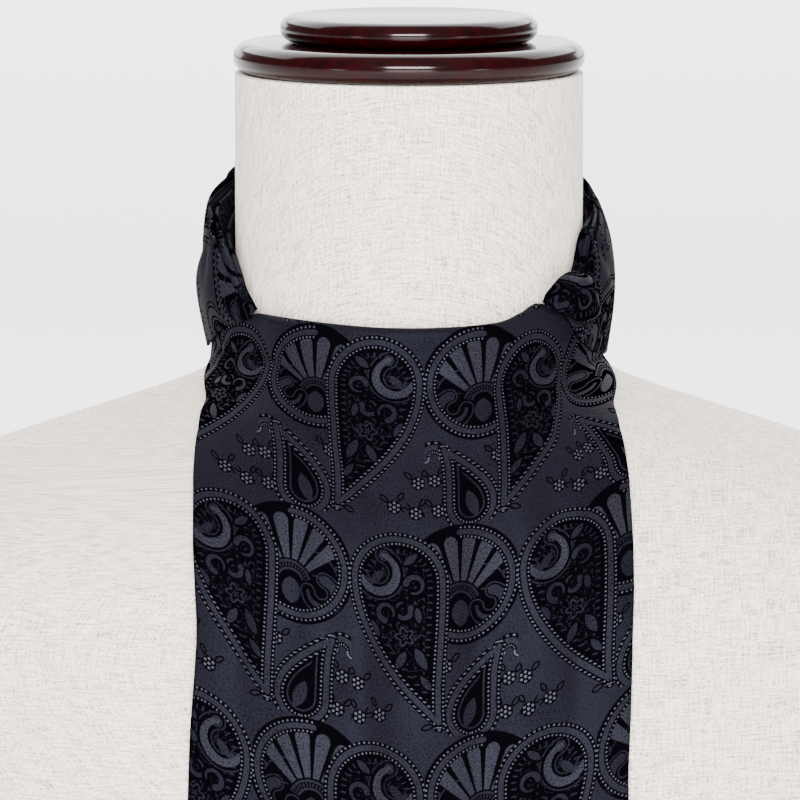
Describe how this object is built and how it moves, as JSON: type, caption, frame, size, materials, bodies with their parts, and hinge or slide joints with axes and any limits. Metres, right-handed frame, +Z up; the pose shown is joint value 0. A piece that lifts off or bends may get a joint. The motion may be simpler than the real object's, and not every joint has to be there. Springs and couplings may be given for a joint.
{
  "type": "silk cravat on a dress form",
  "caption": "Pleated silk day cravat tied round the neck of a limbless dress form with a turned wood cap.",
  "frame": {"origin": "middle of the dress form's flat base, on the neck's axis", "axes": "+Z up along the neck, -Y to the front of the cravat, +X to the viewer's right"},
  "size_m": [0.418, 0.2386, 0.56],
  "materials": {
    "silk_jacquard": "satin",
    "linen": "matte",
    "cherry_wood": "polished"
  },
  "bodies": {
    "root": {"form_body": "linen", "cap_lower": "cherry_wood", "cap_upper": "cherry_wood", "neck_band": "silk_jacquard", "throat_wrap": "silk_jacquard", "under_blade": "silk_jacquard", "front_blade": "silk_jacquard"}
  },
  "joints": []
}
